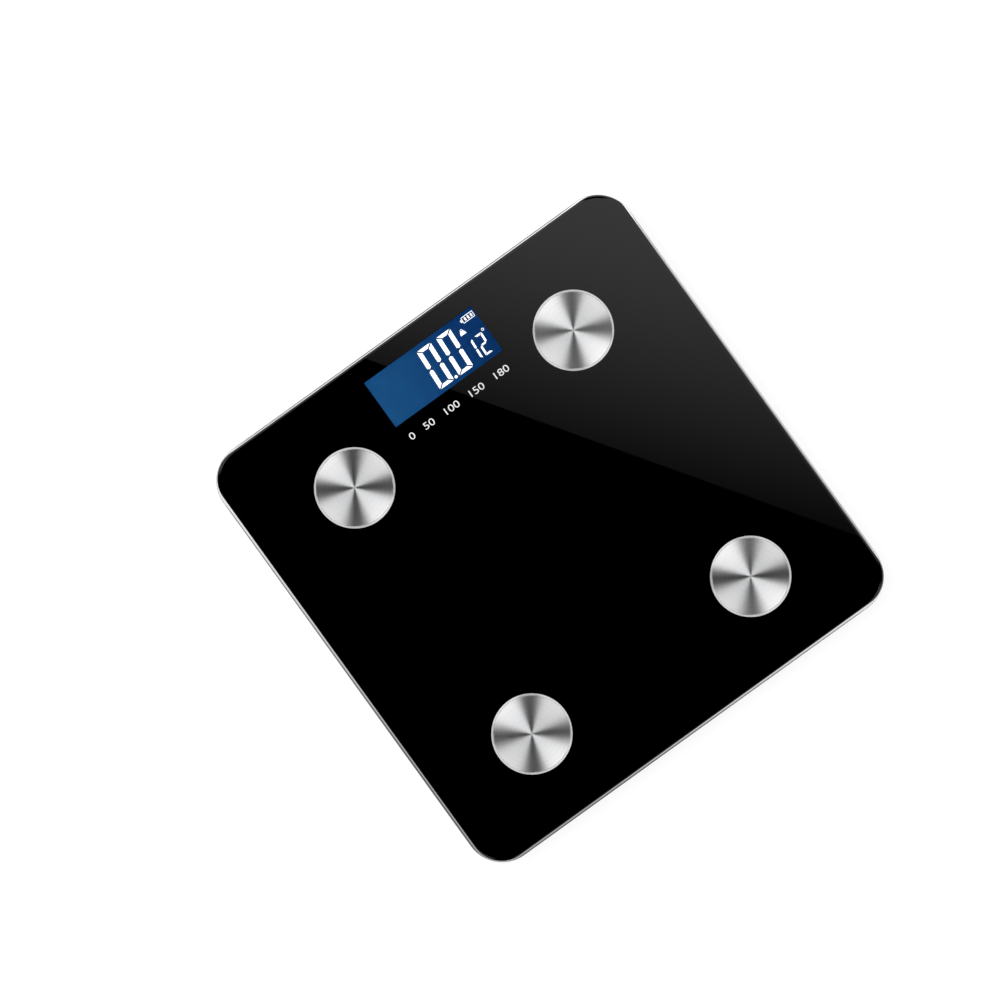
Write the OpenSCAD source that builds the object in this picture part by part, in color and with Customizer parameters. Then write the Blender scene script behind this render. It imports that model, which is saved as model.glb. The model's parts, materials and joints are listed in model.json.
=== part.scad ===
// Digital bathroom scale: a square tempered-glass platform with four steel body-composition
// electrodes and a backlit display, bonded to a moulded tray that holds four load cells, each
// pressed by its own snap-in foot. Origin: centre of the footprint on the floor, +Z up, +Y towards
// the display edge. Millimetres.

/* [Glass platform] */
// Side of the square glass plate
glass_side = 260; // [256:1:300]
// Thickness of the glass
glass_t = 5; // [4:0.5:8]
// Corner radius of the plate, seen from above
glass_corner_r = 20; // [14:1:30]
// How far the glass stands out past the tray, all round
glass_overhang = 6; // [4:0.5:8]
// Thickness of the black print under the glass
print_t = 0.1; // [0.1:0.05:0.3]
// Clear edge between the print and the plate's edge
print_margin = 2.2; // [1.5:0.1:5]

/* [Electrodes] */
// Diameter of each steel disc
electrode_d = 42.2; // [36:0.1:46]
// Thickness of each disc
electrode_t = 0.8; // [0.5:0.1:1.2]
// Width of the turned bevel round each disc's face
electrode_bevel = 0.9; // [0.5:0.1:1.2]
// Adhesive between disc and glass
adhesive_t = 0.2; // [0.1:0.05:0.4]
// How far each disc lies inward of its foot, left and right
electrode_in_x = 12; // [10:0.5:13]
// How far each rear disc lies in front of its foot
electrode_in_rear = 5.5; // [4:0.5:7]
// How far each front disc lies behind its foot
electrode_in_front = 1; // [0:0.5:4]
// Diameter of the stud welded under each disc
stud_d = 4; // [3:0.5:4.5]
// Diameter of the hole in the glass for a stud and its bushing
stud_hole_d = 6; // [5.8:0.1:7]

/* [Tray] */
// Gap between the floor and the tray's underside
floor_gap = 4.5; // [3.5:0.5:6]
// Height of the tray, from its underside to the rim
tray_h = 13.7; // [13.6:0.1:16]
// Wall and floor thickness of the tray
tray_wall = 2; // [1.6:0.1:2.4]
// Radius that rolls the tray's wall into its floor
tray_bottom_r = 7; // [5:0.5:8]
// How much the tray narrows from its rim to the bottom radius, each side
tray_draft = 0.8; // [0.4:0.1:1.5]
// Thickness of the floor ribs
rib_t = 1.4; // [1:0.1:2]
// Height of the floor ribs above the tray's floor
rib_h = 3.8; // [3:0.1:3.9]
// Foam tape between the tray and the print
tape_t = 0.7; // [0.5:0.1:1.2]

/* [Feet] */
// Distance of each foot's centre from the centre lines
foot_xy = 82; // [80:0.5:84]
// Outer diameter of each foot cup
foot_d = 44; // [43:0.5:45]
// Height from the floor to the flange of the foot cup
pad_proud = 0.8; // [0.5:0.1:1.2]
// Depth of the recess that holds the rubber pad
pad_seat = 0.6; // [0.4:0.1:1]
// Thickness of the foot cup's plate
cup_plate_t = 2; // [1.5:0.1:2.4]
// Wall thickness of the foot cup
cup_wall = 1.4; // [1:0.1:1.8]
// Free gap between the foot cup and its well
foot_gap = 0.6; // [0.4:0.1:1]
// Travel of a foot as its load cell bends
foot_travel = 0.4; // [0.2:0.05:0.6]

/* [Load cells] */
// Side of the square load cell
cell_side = 34; // [32:0.5:34]
// Thickness of its steel sheet
cell_t = 2; // [1.5:0.1:2.2]
// Width of its outer frame
cell_frame = 4.5; // [4:0.1:5]
// Side of the middle pad that the foot presses
cell_pad = 12; // [10:0.5:13]
// Width of the neck that carries the strain gauge
cell_neck = 7; // [6:0.5:9]
// Height of the cell's underside above the tray's underside
cell_lift = 3.2; // [3.2:0.1:3.6]
// Height of the ledge that the cell's frame bears on
cell_ledge_h = 1.8; // [1.6:0.1:2]
// Thickness of the roof over each cell
well_roof_t = 1.5; // [1.2:0.1:1.6]

/* [Display] */
// Width of the clear window in the print
window_w = 68.5; // [60:0.5:70]
// Depth of the window, front to back
window_d = 28.3; // [24:0.1:28.3]
// Distance from the plate's rear edge to the window
window_edge = 12.15; // [12.15:0.05:14]
// Front contact ledge of the display glass
lcd_ledge = 4; // [3:0.5:4.5]
// Margin of the display glass round the window
lcd_margin = 1.4; // [1:0.1:1.5]
// Thickness of each of the display's two glass sheets
lcd_sheet_t = 1.05; // [0.7:0.05:1.1]
// Thickness of the light guide
guide_t = 2.6; // [2:0.1:2.8]
// Thickness of the diffuser over the light guide
diffuser_t = 0.25; // [0.1:0.05:0.3]
// Gasket between the display glass and the print
gasket_t = 0.3; // [0.2:0.05:0.5]
// Wall of the display's holder
holder_wall = 1.2; // [1:0.1:1.2]

/* [Circuit board] */
// Thickness of the circuit board
pcb_t = 1.2; // [1:0.1:1.6]
// Strip of board in front of the display glass, where the leads are soldered
pcb_strip = 5.55; // [5.5:0.05:6]
// Margin of board outside its screws, left and right
pcb_edge = 5; // [4:0.5:6]
// Height of the board's underside above the tray's floor
pcb_standoff = 4.9; // [4.9:0.1:5.1]

/* [Battery bay] */
// Diameter of an AAA cell
battery_d = 10.5; // [10.5:0.1:10.6]
// Length of an AAA cell, with its positive button
battery_l = 44.5; // [44:0.1:45]
// Gap between the two cells
battery_gap = 0.7; // [0.5:0.1:1.5]
// Room for the contact spring at a cell's negative end
spring_l = 3.6; // [3:0.1:5]
// Thickness of the contact plates
contact_t = 0.4; // [0.3:0.05:0.5]
// Wall thickness of the bay
bay_wall = 1.5; // [1.2:0.1:2]
// Thickness of the bay's roof
bay_roof_t = 1; // [0.8:0.1:1]
// Thickness of the battery door
door_t = 1.5; // [1.2:0.1:1.6]
// How far the door reaches past the bay, all round
door_lap = 3.8; // [3:0.1:5]
// Clearance round the door
door_gap = 0.3; // [0.2:0.05:0.4]

/* [Unit button] */
// Diameter of the button
button_d = 10; // [8:0.5:12]
// Distance of the button in front of the board's centre
button_offset = 2; // [1:0.5:4]
// Travel of the button
button_travel = 0.3; // [0.2:0.05:0.4]
// How far the button's face lies inside the tray's underside
button_sink = 0.3; // [0.2:0.1:0.6]

/* [Screws and leads] */
// Shank radius of the small screws
screw_r = 1; // [0.8:0.05:1.1]
// Clearance round a screw's shank in its boss
screw_fit = 0.05; // [0.03:0.01:0.1]
// Head radius of the small screws
screw_head_r = 2; // [1.8:0.1:2.1]
// Diameter of a load cell's lead wires
lead_d = 1; // [0.7:0.1:1]
// Diameter of an electrode's lead wire
electrode_lead_d = 1.2; // [0.8:0.1:1.3]

/* [Hidden] */
$fn = 64;

// How far a cutting shape runs past the face it cuts, and joined shapes into each other
cut = 1;
bite = 0.5;

// Free fit round a pin, stud or wire, and between stacked thin parts
slip = 0.1;

// Heights, from the floor up
tray_z = floor_gap;
floor_z = tray_z + tray_wall;
rim_z = tray_z + tray_h;
print_z = rim_z + tape_t;
glass_z = print_z + print_t;
glass_top = glass_z + glass_t;
disc_z = glass_top + adhesive_t;

// Glass edge: an arc a little fuller than half the thickness, so a fine arris is left
edge_r = glass_t / 2 + 0.1;

// Tray plan
tray_side = glass_side - 2 * glass_overhang;
tray_corner_r = glass_corner_r + 5;
tray_corner_c = tray_side / 2 - tray_corner_r;
wall_foot = tray_corner_r - tray_draft;
bottom_c = wall_foot - tray_bottom_r;
tray_inner = tray_corner_c + wall_foot - tray_wall;

// Corner wells, foot cups and load cells
cup_r = foot_d / 2;
well_r = cup_r + foot_gap;
well_wall = 1.8;
gusset_angles = [20, 70, 110, 160, 200, 270, 340];
gusset_reach = 2.4;
cell_z = tray_z + cell_lift;
cell_top = cell_z + cell_t;
roof_z = cell_top + cell_ledge_h;
roof_top = roof_z + well_roof_t;
cell_fit = 0.3;
locator_side = cell_side + 2 * cell_fit;
locator_t = 1.2;
cell_screw_y = (cell_side - cell_frame) / 2 - 0.25;
boss_r = screw_r + 1.6;
boss_top = rim_z - 1.4;
hook_w = 6;
hook_reach = 1.4;
hook_h = 1.05;
hook_lap = 0.8;
hook_play = 0.05;
window_in_r = cup_r - cup_wall - 0.4;
channel_y = 8;
channel_w = 4;
gauge_r = 3.8;
gauge_h = 1.1;

// Floor ribs: the outer ones run into the wells' inner faces
rib_far = foot_xy - well_r + 0.6;
rib_near = 0.6 * rib_far;
rib_out = foot_xy + well_r - 0.6;

// Leads
lead_r = lead_d / 2;
lead_pitch = lead_d + 0.2;
lead_z = floor_z + rib_h + lead_r;
electrode_lead_r = electrode_lead_d / 2;

// Electrodes, each over the room in its corner's well, and their fastenings under the glass
electrode_x = foot_xy - electrode_in_x;
electrode_rear_y = foot_xy - electrode_in_rear;
electrode_front_y = foot_xy - electrode_in_front;
bushing_flange_t = 1;
bushing_flange_r = 5;
terminal_t = 0.6;
nut_h = 3;
nut_af = 7;
stud_end = 0.7;
bushing_z = print_z - bushing_flange_t;
terminal_z = bushing_z - terminal_t;
nut_z = terminal_z - nut_h;
stud_z = nut_z - stud_end;
ring_r = 4;
tongue_w = 3;
barrel_r = 1.15;
barrel_l = 5;
barrel_x = 8;
notch_l = 14;
notch_w = 4.4;
notch_drop = 2.4;

// Display stack
window_y = glass_side / 2 - window_edge - window_d / 2;
gasket_z = print_z - gasket_t;
lcd_z = gasket_z - 2 * lcd_sheet_t;
diffuser_z = lcd_z - diffuser_t;
guide_z = diffuser_z - guide_t;
lcd_w = window_w + 2 * 2.75;
lcd_back = window_y + window_d / 2 + lcd_margin;
lcd_front = window_y - window_d / 2 - lcd_ledge;
lcd_fit = 0.2;
holder_x = lcd_w / 2 + lcd_fit + holder_wall;
shelf_w = 1.4;
ear_r = 2;
ear_x = holder_x + ear_r - 0.6;
peg_r = 1;
led_pitch = (lcd_w - 22) / 4;

// Circuit board
pcb_z = floor_z + pcb_standoff;
pcb_top = pcb_z + pcb_t;
pcb_screw_x = ear_x + ear_r + screw_head_r + 0.2;
pcb_w = 2 * (pcb_screw_x + pcb_edge);
pcb_front = lcd_front - pcb_strip;
pcb_back = lcd_back - 1.25;
pcb_d = pcb_back - pcb_front;
pcb_y = (pcb_front + pcb_back) / 2;
pcb_screw_y = [pcb_y - 2, pcb_y + 14];
peg_y = [pcb_y - 8, pcb_y + 7];
head_h = 1.3;
cross_l = 2.6;
cross_w = 0.5;
cross_d = 0.6;
lead_lane_x = [pcb_w / 2 - 11, pcb_w / 2 - 4.5];
lead_end_y = pcb_front + 4;

// Battery bay and door
door_z = tray_z;
door_top = door_z + door_t;
bay_clear = 0.3;
cell_axis_z = door_top + bay_clear + battery_d / 2;
bay_roof_z = cell_axis_z + battery_d / 2 + 0.1;
bay_half_y = battery_d + battery_gap / 2 + 0.4;
cell_axis_y = (battery_d + battery_gap) / 2;
dimple_h = 0.6;
bay_half_x = (battery_l + spring_l + dimple_h + 2 * contact_t) / 2 + 0.2;
door_half_x = bay_half_x + door_lap;
door_half_y = bay_half_y + door_lap;
seat_t = 1.5;
hinge_r = door_t / 2;
hinge_y = -door_half_y + hinge_r;
hinge_z = door_z + hinge_r;
tab_w = 8;
tab_x = door_half_x * 0.6;
tab_reach = 2;
tab_room = 0.5;
latch_w = 12;
latch_t = 0.9;
latch_h = 3.6;
latch_edge = 1.6;
latch_slot = 0.8;
groove_w = 0.6;
groove_pitch = 1.5;
terminal_tab_z = cell_axis_z - 0.6;
terminal_tab_l = 3.2;
terminal_tab_w = 3;

// Unit button and its switch
button_y = pcb_y - button_offset;
button_r = button_d / 2;
button_fit = 0.2;
button_flange_t = 1;
button_flange_r = button_r + 1.4;
button_top = floor_z + slip + button_flange_t;
switch_side = 6;
stem_r = 1.75;
stem_h = button_travel + slip;
post_r = 1.6;

// Corners, as x sign and y sign
rear_left = [-1, 1];
rear_right = [1, 1];
front_left = [-1, -1];
front_right = [1, -1];
corners = [rear_left, rear_right, front_left, front_right];

function electrode_y(c) = c[1] > 0 ? electrode_rear_y : electrode_front_y;

// ---------------------------------------------------------------- shared shapes

// Draws for the rear right corner and mirrors it into corner c
module in_corner(c) {
    mirror([c[0] < 0 ? 1 : 0, 0, 0]) mirror([0, c[1] < 0 ? 1 : 0, 0]) children();
}

module at_foot() { translate([foot_xy, foot_xy, 0]) children(); }

module at_electrode(c) { translate([electrode_x, electrode_y(c), 0]) children(); }

module rounded_rect(w, d, r) {
    square([w - 2 * r, d], center = true);
    square([w, d - 2 * r], center = true);
    for (x = [-1, 1], y = [-1, 1]) translate([x * (w / 2 - r), y * (d / 2 - r)]) circle(r);
}

module plate(w, d, r, z, h) { translate([0, 0, z]) linear_extrude(height = h) rounded_rect(w, d, r); }

module bar(x, y, z) {
    translate([x[0], y[0], z[0]]) cube([x[1] - x[0], y[1] - y[0], z[1] - z[0]]);
}

module tube(r_in, r_out, z, h) {
    translate([0, 0, z]) linear_extrude(height = h) difference() {
        circle(r_out);
        circle(r_in);
    }
}

// A drop of radius r and height h, standing on z = 0
module dome(r, h) {
    big_r = (r * r + h * h) / (2 * h);
    rotate_extrude() intersection() {
        translate([0, h - big_r]) circle(big_r, $fn = 360);
        square([r, h]);
    }
}

module rod(r, z, h) { translate([0, 0, z]) cylinder(r = r, h = h); }

// Carries a profile round a rounded square: x is measured outwards from the corner's centre
module round_sweep(side, r) {
    straight = side - 2 * r;
    for (k = [0:3]) rotate(90 * k) translate([straight / 2, straight / 2, 0]) {
        rotate_extrude(angle = 90) children();
        rotate([90, 0, 0]) linear_extrude(height = straight) children();
    }
}

// ---------------------------------------------------------------- swept wires

function unit(v) = v / norm(v);

// The route with each inner corner eased by a short curve
function eased(p, reach, n = 3) = concat([p[0]],
    [for (i = [1:len(p) - 2]) let (
            a = p[i] + unit(p[i - 1] - p[i]) * min(reach, norm(p[i - 1] - p[i]) * 0.45),
            b = p[i] + unit(p[i + 1] - p[i]) * min(reach, norm(p[i + 1] - p[i]) * 0.45))
        for (k = [0:n]) let (t = k / n) (1 - t) * (1 - t) * a + 2 * t * (1 - t) * p[i] + t * t * b],
    [p[len(p) - 1]]);

function heading(q, i) = i == 0 ? unit(q[1] - q[0])
    : i == len(q) - 1 ? unit(q[i] - q[i - 1])
    : unit(unit(q[i] - q[i - 1]) + unit(q[i + 1] - q[i]));

module swept_wire(q, r, sides, up = [0, 0, 1]) {
    rings = [for (i = [0:len(q) - 1]) let (
            d = heading(q, i),
            side = unit(cross(d, up)),
            top = cross(side, d))
        for (k = [0:sides - 1]) q[i] + r * (cos(360 * k / sides) * side + sin(360 * k / sides) * top)];
    last = (len(q) - 1) * sides;
    walls = [for (i = [0:len(q) - 2], k = [0:sides - 1]) let (n = (k + 1) % sides)
        [i * sides + k, i * sides + n, (i + 1) * sides + n, (i + 1) * sides + k]];
    caps = [[for (k = [sides - 1:-1:0]) k], [for (k = [0:sides - 1]) last + k]];
    polyhedron(points = rings, faces = concat(walls, caps), convexity = 6);
}

// ---------------------------------------------------------------- glass platform

module glass_edge_profile() {
    intersection() {
        square([glass_corner_r, glass_t]);
        union() {
            square([glass_corner_r - edge_r, glass_t]);
            translate([glass_corner_r - edge_r, glass_t / 2]) circle(edge_r);
        }
    }
}

module stud_holes(r, z, h) {
    for (c = corners) in_corner(c) at_electrode(c) rod(r, z, h);
}

module glass_platform() {
    inner = glass_side - 2 * glass_corner_r;
    color("#c9ddd8", 0.35) difference() {
        union() {
            translate([0, 0, glass_z]) round_sweep(glass_side, glass_corner_r) glass_edge_profile();
            plate(inner, inner, 0, glass_z, glass_t);
        }
        stud_holes(stud_hole_d / 2, glass_z - cut, glass_t + 2 * cut);
    }
}

// Black enamel printed under the glass, clear over the display
module glass_back_print() {
    side = glass_side - 2 * print_margin;
    color("#08090b") difference() {
        plate(side, side, glass_corner_r - print_margin, print_z, print_t);
        translate([0, window_y, print_z - cut]) linear_extrude(height = print_t + 2 * cut)
            square([window_w, window_d], center = true);
        stud_holes(stud_hole_d / 2 + 3 * slip, print_z - cut, print_t + 2 * cut);
    }
}

// A frame on the tray's rim and a ring on each corner well
module glass_bond_tape() {
    tape_margin = 0.3;
    ring_margin = 0.2;
    outer = tray_corner_r - tape_margin;
    inner = wall_foot - tray_wall + tape_margin;
    color("#e9e7df") {
        translate([0, 0, rim_z]) round_sweep(tray_side, tray_corner_r)
            translate([inner, 0]) square([outer - inner, tape_t]);
        for (c = corners) in_corner(c) difference() {
            at_foot() tube(well_r + ring_margin, well_r + well_wall - ring_margin, rim_z, tape_t);
            electrode_lead_notch(c);
        }
    }
}

// ---------------------------------------------------------------- electrodes

// Spun steel disc with a bevelled rim and a stud welded to its middle
module electrode(c) {
    r = electrode_d / 2;
    bevel_h = electrode_t * 0.45;
    color("#c4c6c8") in_corner(c) at_electrode(c) {
        translate([0, 0, disc_z]) rotate_extrude() polygon([[0, 0], [r, 0], [r, electrode_t - bevel_h],
            [r - electrode_bevel, electrode_t], [0, electrode_t]]);
        rod(stud_d / 2, stud_z, disc_z - stud_z);
    }
}

module electrode_adhesive() {
    margin = 1;
    color("#d8d4c6") for (c = corners) in_corner(c) at_electrode(c)
        tube(stud_hole_d / 2 + margin, electrode_d / 2 - margin, glass_top, adhesive_t);
}

// Nylon shoulder bushing that centres each stud in the glass
module electrode_bushings() {
    sleeve_r = stud_hole_d / 2 - slip;
    bore_r = stud_d / 2 + slip;
    color("#efece2") for (c = corners) in_corner(c) at_electrode(c) {
        tube(bore_r, sleeve_r, print_z, print_t + glass_t - 2 * slip);
        tube(bore_r, bushing_flange_r, bushing_z, bushing_flange_t);
    }
}

module electrode_nuts() {
    color("#b9a97a") for (c = corners) in_corner(c) at_electrode(c) difference() {
        translate([0, 0, nut_z]) cylinder(d = nut_af / cos(30), h = nut_h, $fn = 6);
        rod(stud_d / 2 + slip / 2, nut_z - cut, nut_h + 2 * cut);
    }
}

// Crimp terminal: a ring on the stud, a tongue and a barrel pointing inwards
module electrode_ring_terminals() {
    color("#d5b46a") for (c = corners) in_corner(c) at_electrode(c) {
        difference() {
            union() {
                rod(ring_r, terminal_z, terminal_t);
                bar([-barrel_x, 0], [-tongue_w / 2, tongue_w / 2], [terminal_z, terminal_z + terminal_t]);
            }
            rod(stud_d / 2 + slip, terminal_z - cut, terminal_t + 2 * cut);
        }
        translate([-barrel_x, 0, terminal_z + terminal_t - barrel_r]) rotate([0, -90, 0])
            crimp_barrel(barrel_r, electrode_lead_r, barrel_l);
    }
}

// Open at its far end for the wire
module crimp_barrel(r_out, r_in, l) {
    end_t = 1;
    difference() {
        cylinder(r = r_out, h = l);
        translate([0, 0, end_t]) cylinder(r = r_in + slip / 2, h = l);
    }
}

// ---------------------------------------------------------------- tray

module tray_wall_profile() {
    difference() {
        union() {
            polygon([[bottom_c, tray_z], [bottom_c, rim_z], [tray_corner_r, rim_z],
                [wall_foot, tray_z + tray_bottom_r], [bottom_c, tray_z + tray_bottom_r]]);
            intersection() {
                translate([bottom_c, tray_z + tray_bottom_r]) circle(tray_bottom_r);
                translate([bottom_c, tray_z]) square(tray_bottom_r);
            }
        }
        translate([0, tray_z + tray_bottom_r]) square([wall_foot - tray_wall, tray_h]);
        intersection() {
            translate([bottom_c, tray_z + tray_bottom_r]) circle(tray_bottom_r - tray_wall);
            translate([0, floor_z]) square([wall_foot, tray_h]);
        }
        translate([0, floor_z]) square([bottom_c, tray_h]);
    }
}

// Everything that a well adds to the tray: a wall filled to its top, and gussets round it
module well_solid() {
    reach = [well_r, well_r + well_wall + gusset_reach];
    at_foot() {
        rod(well_r + well_wall, tray_z, rim_z - tray_z);
        for (a = gusset_angles) rotate(a)
            bar(reach, [-rib_t / 2, rib_t / 2], [floor_z, lead_z - lead_r]);
    }
}

module well_cavity() {
    ledge_in = cell_side - 2 * cell_frame + 1;
    locator_out = locator_side + 2 * locator_t;
    bore_z = tray_z - cut;
    pocket_z = cell_z - bite;
    hook_side = hook_w / 2 + bite;
    lead_side = channel_w / 2;
    lead_room = 0.6;
    at_foot() {
        // bore for the foot cup, up to the cell's underside
        rod(well_r, bore_z, cell_z - 0.4 - bore_z);
        // room round the locator
        difference() {
            rod(well_r, pocket_z, roof_z - pocket_z);
            plate(locator_out, locator_out, 1, pocket_z, roof_z - pocket_z + bite);
        }
        // pocket for the cell and its deflecting middle
        intersection() {
            plate(locator_side, locator_side, 1, pocket_z, cell_top - pocket_z);
            rod(well_r, cell_z - cut, cell_t + 2 * cut);
        }
        plate(ledge_in, ledge_in, 1, cell_top - slip, cell_ledge_h + slip);
        // above the roof
        rod(well_r, roof_top, rim_z - roof_top + cut);
        // windows for the foot's hooks
        for (a = [0:90:270]) rotate(a)
            bar([window_in_r, well_r], [-hook_side, hook_side], [roof_z - bite, roof_top + cut]);
        // channel for the cell's leads
        bar([-well_r - well_wall - 4, -cell_pad / 2], [-channel_y - lead_side, -channel_y + lead_side],
            [lead_z - lead_r - lead_room, roof_z]);
    }
}

module cell_screw_bosses() {
    at_foot() for (y = [-1, 1]) translate([0, y * cell_screw_y, 0])
        rod(boss_r, roof_top - bite, boss_top - roof_top + bite);
}

module cell_screw_holes() {
    at_foot() for (y = [-1, 1]) translate([0, y * cell_screw_y, 0])
        rod(screw_r + screw_fit, cell_z, boss_top - 1.2 - cell_z);
}

// Notch in the well's rim where the electrode's lead leaves
module electrode_lead_notch(c) {
    at_electrode(c) bar([-barrel_x - barrel_l - notch_l, -barrel_x], [-notch_w / 2, notch_w / 2],
        [terminal_z - notch_drop, print_z + cut]);
}

// The space inside the middle of the tray's wall, which trims the ribs' ends
module inside_wall() {
    mid_r = tray_bottom_r - tray_wall / 2;
    round_sweep(tray_side, tray_corner_r) union() {
        translate([0, floor_z - tray_wall / 2]) square([bottom_c, rib_h + tray_wall / 2]);
        intersection() {
            translate([bottom_c, tray_z + tray_bottom_r]) circle(mid_r);
            translate([bottom_c, tray_z]) square([mid_r, tray_wall + rib_h]);
        }
    }
    centre = 2 * tray_corner_c;
    plate(centre, centre, 0, floor_z - tray_wall / 2, rib_h + tray_wall / 2);
}

// Ribs that brace the floor and carry the leads on their top edges
module floor_ribs() {
    reach = tray_side / 2;
    rib_z = [floor_z - bite, floor_z + rib_h];
    intersection() {
        inside_wall();
        union() {
            for (y = [-rib_far, -rib_near, rib_near, rib_far])
                bar([-reach, reach], [y - rib_t / 2, y + rib_t / 2], rib_z);
            bar([-rib_t / 2, rib_t / 2], [-reach, -rib_far], rib_z);
        }
    }
    for (x = [-rib_out, -rib_far, rib_far, rib_out])
        bar([x - rib_t / 2, x + rib_t / 2], [-rib_far, rib_far], rib_z);
    // diagonals from the bay's corners
    run = [rib_far - bay_half_x, rib_far - bay_half_y];
    for (y = [-1, 1], x = [-1, 1]) translate([x * bay_half_x, y * bay_half_y, 0])
        rotate(atan2(y * run[1], x * run[0])) bar([0, norm(run) - 2], [-rib_t / 2, rib_t / 2], rib_z);
}

module bay_solid() {
    wall_x = bay_half_x + bay_wall;
    wall_y = bay_half_y + bay_wall;
    seat_x = door_half_x + door_gap + seat_t;
    seat_y = door_half_y + door_gap + seat_t;
    bar([-wall_x, wall_x], [-wall_y, wall_y], [tray_z, bay_roof_z + bay_roof_t]);
    bar([-seat_x, seat_x], [-seat_y - tab_reach, seat_y], [tray_z, door_top + seat_t]);
}

module bay_cavity() {
    recess_x = door_half_x + door_gap;
    recess_y = door_half_y + door_gap;
    bar([-bay_half_x, bay_half_x], [-bay_half_y, bay_half_y], [tray_z - cut, bay_roof_z]);
    bar([-recess_x, recess_x], [-recess_y, recess_y], [tray_z - cut, door_top + slip]);
    // pockets that the door's hinge tabs swing up into
    pocket_x = tab_w / 2 + tab_room;
    for (x = [-tab_x, tab_x]) bar([x - pocket_x, x + pocket_x],
        [hinge_y - tab_reach - hinge_r - 0.6, hinge_y + hinge_r], [hinge_z - 0.35, door_top + seat_t + cut]);
    // pocket over the latch
    latch_x = latch_w / 2 + 0.6;
    bar([-latch_x, latch_x], [bay_half_y - slip, door_half_y + 0.9], [door_top, door_top + latch_h + 0.4]);
    // finger notch outside the latch
    translate([0, recess_y + 1, tray_z - 2.6]) rotate([0, 90, 0])
        cylinder(r = 4, h = latch_w + 2, center = true);
    // slots for the terminals' tabs
    slot_y = terminal_tab_w / 2 + 0.3;
    slot_z = [terminal_tab_z - 0.15, terminal_tab_z + contact_t + 0.15];
    for (y = [-cell_axis_y, cell_axis_y])
        bar([-bay_half_x - bay_wall - cut, -bay_half_x + cut], [y - slot_y, y + slot_y], slot_z);
}

module board_bosses() {
    for (x = [-1, 1], y = pcb_screw_y) translate([x * pcb_screw_x, y, 0])
        rod(boss_r + 0.2, floor_z - bite, pcb_standoff + bite);
    // posts that back the board round the button
    for (x = [-1, 1]) translate([x * (button_flange_r + 5), button_y, 0])
        rod(post_r, floor_z - bite, pcb_standoff + bite);
}

module board_screw_holes() {
    for (x = [-1, 1], y = pcb_screw_y) translate([x * pcb_screw_x, y, 0])
        rod(screw_r + screw_fit, floor_z, pcb_standoff + cut);
}

module button_guide() {
    guide_wall = 1.2;
    translate([0, button_y, 0])
        rod(button_flange_r + button_fit + guide_wall, floor_z - bite, bite + button_flange_t + slip);
}

module button_hole() {
    translate([0, button_y, 0]) {
        rod(button_r + button_fit, tray_z - cut, tray_wall + 3);
        rod(button_flange_r + button_fit, floor_z, 3);
    }
}

module base_tray() {
    floor_side = 2 * (tray_corner_c + bottom_c);
    color("#2b2d30") difference() {
        union() {
            round_sweep(tray_side, tray_corner_r) tray_wall_profile();
            plate(floor_side, floor_side, bottom_c, tray_z, tray_wall);
            floor_ribs();
            for (c = corners) in_corner(c) well_solid();
            bay_solid();
            board_bosses();
            button_guide();
        }
        for (c = corners) in_corner(c) {
            difference() {
                well_cavity();
                cell_screw_bosses();
            }
            cell_screw_holes();
            electrode_lead_notch(c);
        }
        bay_cavity();
        board_screw_holes();
        button_hole();
    }
}

// ---------------------------------------------------------------- display

module at_display() { translate([0, window_y, 0]) children(); }

// Two bonded glass sheets, the lower one longer at the front for its contacts
module lcd_glass() {
    color("#0f4c86") {
        bar([-lcd_w / 2, lcd_w / 2], [lcd_front, lcd_back], [lcd_z, lcd_z + lcd_sheet_t]);
        bar([-lcd_w / 2, lcd_w / 2], [lcd_front + lcd_ledge - 0.6, lcd_back],
            [lcd_z + lcd_sheet_t, lcd_z + 2 * lcd_sheet_t]);
    }
}

module lcd_gasket() {
    color("#17181a") at_display() difference() {
        plate(window_w + 3.4, window_d + 2.2, 0.5, gasket_z, gasket_t);
        plate(window_w + 0.8, window_d + 0.4, 0.5, gasket_z - cut, gasket_t + 2 * cut);
    }
}

// Frame that holds light guide and display glass over the board, with pegs into it
module lcd_holder() {
    x = lcd_w / 2 + lcd_fit;
    front = lcd_front - lcd_fit;
    back = lcd_back + lcd_fit;
    color("#f1f1ec") {
        difference() {
            bar([-holder_x, holder_x], [front - holder_wall, back + holder_wall], [pcb_top, rim_z]);
            bar([-x, x], [front, back], [pcb_top - cut, rim_z + cut]);
        }
        // shelf under the light guide's ends
        for (s = [0, 1]) mirror([s, 0, 0]) bar([x - shelf_w, x], [front, back], [pcb_top, guide_z]);
        for (s = [-1, 1], y = peg_y) translate([s * ear_x, y, 0]) {
            rod(ear_r, pcb_top, 1.6);
            rod(peg_r, pcb_z - bite, pcb_t + 2 * bite);
        }
    }
}

module lcd_contact_strip() {
    y = lcd_front + 0.4;
    color("#d98f9a") bar([-lcd_w / 2 + 3, lcd_w / 2 - 3], [y, y + 2], [pcb_top, lcd_z]);
}

module backlight_guide() {
    x = lcd_w / 2 - 0.2;
    color("#dfeaf2") bar([-x, x], [lcd_front + lcd_ledge, lcd_back], [guide_z, guide_z + guide_t]);
}

module backlight_diffuser() {
    x = lcd_w / 2 - 0.2;
    color("#ffffff") bar([-x, x], [lcd_front + lcd_ledge, lcd_back], [diffuser_z, diffuser_z + diffuser_t]);
}

// Light sources on the board, in front of the light guide
module backlight_leds() {
    y = lcd_front + 2.8;
    color("#f6e9a0") for (i = [-2:2]) translate([i * led_pitch, 0, 0])
        bar([-1.2, 1.2], [y, y + 1], [pcb_top, guide_z + guide_t - 0.3]);
}

// ---------------------------------------------------------------- circuit board

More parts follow.
